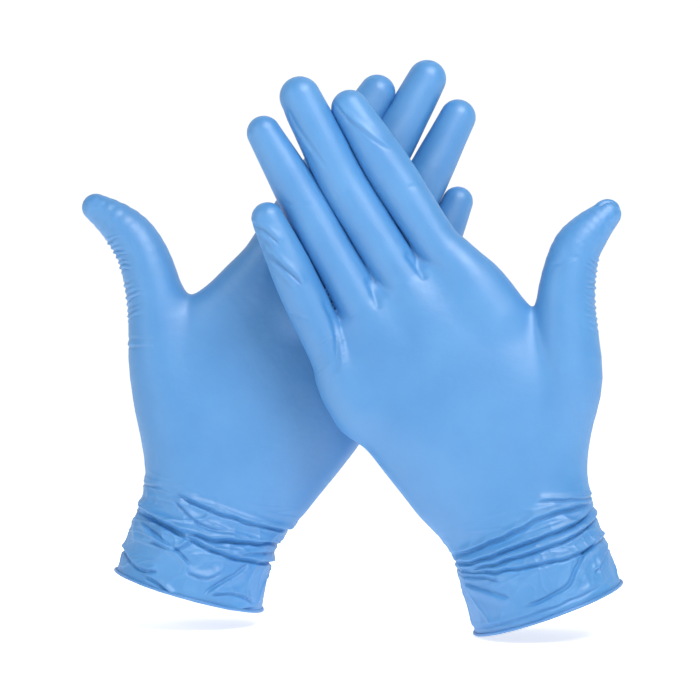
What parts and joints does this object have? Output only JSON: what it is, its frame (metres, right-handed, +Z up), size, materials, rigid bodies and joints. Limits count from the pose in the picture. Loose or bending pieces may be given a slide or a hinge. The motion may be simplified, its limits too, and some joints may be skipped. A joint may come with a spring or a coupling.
{
  "type": "pair of disposable gloves",
  "caption": "Pair of thin five-finger disposable gloves in their worn shape, crossed one in front of the other, each with an open cuff and a rolled rim.",
  "frame": {"origin": "centre of the front glove's cuff opening, in the plane of its rim", "axes": "+Z up, the way the fingers point; +X to the right for someone who faces the pair; +Y from the front glove to the rear one"},
  "size_m": [0.2207, 0.0976, 0.2336],
  "materials": {
    "nitrile_film": "satin",
    "rolled_rim": "satin"
  },
  "bodies": {
    "front_cuff": {"front_cuff": "nitrile_film", "front_rim_bead": "rolled_rim"},
    "front_hand": {"front_hand": "nitrile_film"},
    "front_thumb_stall": {"front_thumb_stall": "nitrile_film"},
    "front_thumb_tip": {"front_thumb_tip": "nitrile_film"},
    "front_index_stall": {"front_index_stall": "nitrile_film"},
    "front_index_tip": {"front_index_tip": "nitrile_film"},
    "front_middle_stall": {"front_middle_stall": "nitrile_film"},
    "front_middle_tip": {"front_middle_tip": "nitrile_film"},
    "front_ring_stall": {"front_ring_stall": "nitrile_film"},
    "front_ring_tip": {"front_ring_tip": "nitrile_film"},
    "front_little_stall": {"front_little_stall": "nitrile_film"},
    "front_little_tip": {"front_little_tip": "nitrile_film"},
    "rear_cuff": {"rear_cuff": "nitrile_film", "rear_rim_bead": "rolled_rim"},
    "rear_hand": {"rear_hand": "nitrile_film"},
    "rear_thumb_stall": {"rear_thumb_stall": "nitrile_film"},
    "rear_thumb_tip": {"rear_thumb_tip": "nitrile_film"},
    "rear_index_stall": {"rear_index_stall": "nitrile_film"},
    "rear_index_tip": {"rear_index_tip": "nitrile_film"},
    "rear_middle_stall": {"rear_middle_stall": "nitrile_film"},
    "rear_middle_tip": {"rear_middle_tip": "nitrile_film"},
    "rear_ring_stall": {"rear_ring_stall": "nitrile_film"},
    "rear_ring_tip": {"rear_ring_tip": "nitrile_film"},
    "rear_little_stall": {"rear_little_stall": "nitrile_film"},
    "rear_little_tip": {"rear_little_tip": "nitrile_film"}
  },
  "joints": [
    {"name": "gloves_apart", "type": "slide", "parent": "front_cuff", "child": "rear_cuff", "axis": [0, 1, 0], "range_m": [0, 0.12]},
    {"name": "front_wrist_flex", "type": "hinge", "parent": "front_cuff", "child": "front_hand", "pos_m": [-0.0118, -0.0212, 0.0374], "axis": [0.8704, 0, 0.4924], "range_deg": [0, 50], "stiffness_Nm_per_rad": 0.05},
    {"name": "front_thumb_root_flex", "type": "hinge", "parent": "front_hand", "child": "front_thumb_stall", "pos_m": [0.0065, -0.015, 0.121], "axis": [0.9843, 0, -0.1767], "range_deg": [0, 45], "stiffness_Nm_per_rad": 0.004},
    {"name": "front_thumb_middle_flex", "type": "hinge", "parent": "front_thumb_stall", "child": "front_thumb_tip", "pos_m": [0.01, -0.0129, 0.1405], "axis": [0.9145, 0, -0.4047], "range_deg": [0, 60], "stiffness_Nm_per_rad": 0.003},
    {"name": "front_index_root_flex", "type": "hinge", "parent": "front_hand", "child": "front_index_stall", "pos_m": [-0.04556, -0.00749, 0.14725], "axis": [0.8417, 0, 0.54], "range_deg": [0, 70], "stiffness_Nm_per_rad": 0.003},
    {"name": "front_index_middle_flex", "type": "hinge", "parent": "front_index_stall", "child": "front_index_tip", "pos_m": [-0.0624, -0.0063, 0.1735], "axis": [0.8426, 0, 0.5385], "range_deg": [0, 80], "stiffness_Nm_per_rad": 0.002},
    {"name": "front_middle_root_flex", "type": "hinge", "parent": "front_hand", "child": "front_middle_stall", "pos_m": [-0.06254, -0.0074, 0.13823], "axis": [0.8499, 0, 0.5269], "range_deg": [0, 70], "stiffness_Nm_per_rad": 0.003},
    {"name": "front_middle_middle_flex", "type": "hinge", "parent": "front_middle_stall", "child": "front_middle_tip", "pos_m": [-0.08095, -0.0061, 0.16792], "axis": [0.8725, 0, 0.4886], "range_deg": [0, 80], "stiffness_Nm_per_rad": 0.002},
    {"name": "front_ring_root_flex", "type": "hinge", "parent": "front_hand", "child": "front_ring_stall", "pos_m": [-0.08052, -0.0071, 0.13122], "axis": [0.8716, 0, 0.4903], "range_deg": [0, 70], "stiffness_Nm_per_rad": 0.003},
    {"name": "front_ring_middle_flex", "type": "hinge", "parent": "front_ring_stall", "child": "front_ring_tip", "pos_m": [-0.09832, -0.0054, 0.16287], "axis": [0.8713, 0, 0.4908], "range_deg": [0, 80], "stiffness_Nm_per_rad": 0.002},
    {"name": "front_little_root_flex", "type": "hinge", "parent": "front_hand", "child": "front_little_stall", "pos_m": [-0.0889, -0.0094, 0.106], "axis": [0.9021, 0, 0.4315], "range_deg": [0, 70], "stiffness_Nm_per_rad": 0.003},
    {"name": "front_little_middle_flex", "type": "hinge", "parent": "front_little_stall", "child": "front_little_tip", "pos_m": [-0.09979, -0.0088, 0.12876], "axis": [0.9055, 0, 0.4243], "range_deg": [0, 80], "stiffness_Nm_per_rad": 0.002},
    {"name": "rear_wrist_flex", "type": "hinge", "parent": "rear_cuff", "child": "rear_hand", "pos_m": [-0.1364, 0.0552, 0.0366], "axis": [-0.8554, 0, 0.518], "range_deg": [0, 50], "stiffness_Nm_per_rad": 0.05},
    {"name": "rear_thumb_root_flex", "type": "hinge", "parent": "rear_hand", "child": "rear_thumb_stall", "pos_m": [-0.1598, 0.0474, 0.121], "axis": [-0.9662, 0, -0.258], "range_deg": [0, 45], "stiffness_Nm_per_rad": 0.004},
    {"name": "rear_thumb_middle_flex", "type": "hinge", "parent": "rear_thumb_stall", "child": "rear_thumb_tip", "pos_m": [-0.1653, 0.0454, 0.1416], "axis": [-0.8735, 0, -0.4869], "range_deg": [0, 60], "stiffness_Nm_per_rad": 0.003},
    {"name": "rear_index_root_flex", "type": "hinge", "parent": "rear_hand", "child": "rear_index_stall", "pos_m": [-0.10614, 0.0416, 0.15424], "axis": [-0.8264, 0, 0.5631], "range_deg": [0, 70], "stiffness_Nm_per_rad": 0.003},
    {"name": "rear_index_middle_flex", "type": "hinge", "parent": "rear_index_stall", "child": "rear_index_tip", "pos_m": [-0.0877, 0.0405, 0.18131], "axis": [-0.8268, 0, 0.5625], "range_deg": [0, 80], "stiffness_Nm_per_rad": 0.002},
    {"name": "rear_middle_root_flex", "type": "hinge", "parent": "rear_hand", "child": "rear_middle_stall", "pos_m": [-0.08529, 0.0416, 0.14471], "axis": [-0.884, 0, 0.4674], "range_deg": [0, 70], "stiffness_Nm_per_rad": 0.003},
    {"name": "rear_middle_middle_flex", "type": "hinge", "parent": "rear_middle_stall", "child": "rear_middle_tip", "pos_m": [-0.06616, 0.0404, 0.18089], "axis": [-0.8827, 0, 0.4699], "range_deg": [0, 80], "stiffness_Nm_per_rad": 0.002},
    {"name": "rear_ring_root_flex", "type": "hinge", "parent": "rear_hand", "child": "rear_ring_stall", "pos_m": [-0.06849, 0.0414, 0.13391], "axis": [-0.8893, 0, 0.4573], "range_deg": [0, 70], "stiffness_Nm_per_rad": 0.003},
    {"name": "rear_ring_middle_flex", "type": "hinge", "parent": "rear_ring_stall", "child": "rear_ring_tip", "pos_m": [-0.05067, 0.0402, 0.16857], "axis": [-0.8901, 0, 0.4557], "range_deg": [0, 80], "stiffness_Nm_per_rad": 0.002},
    {"name": "rear_little_root_flex", "type": "hinge", "parent": "rear_hand", "child": "rear_little_stall", "pos_m": [-0.06, 0.0415, 0.108], "axis": [-0.9031, 0, 0.4294], "range_deg": [0, 70], "stiffness_Nm_per_rad": 0.003},
    {"name": "rear_little_middle_flex", "type": "hinge", "parent": "rear_little_stall", "child": "rear_little_tip", "pos_m": [-0.04555, 0.0408, 0.13838], "axis": [-0.9143, 0, 0.405], "range_deg": [0, 80], "stiffness_Nm_per_rad": 0.002}
  ]
}
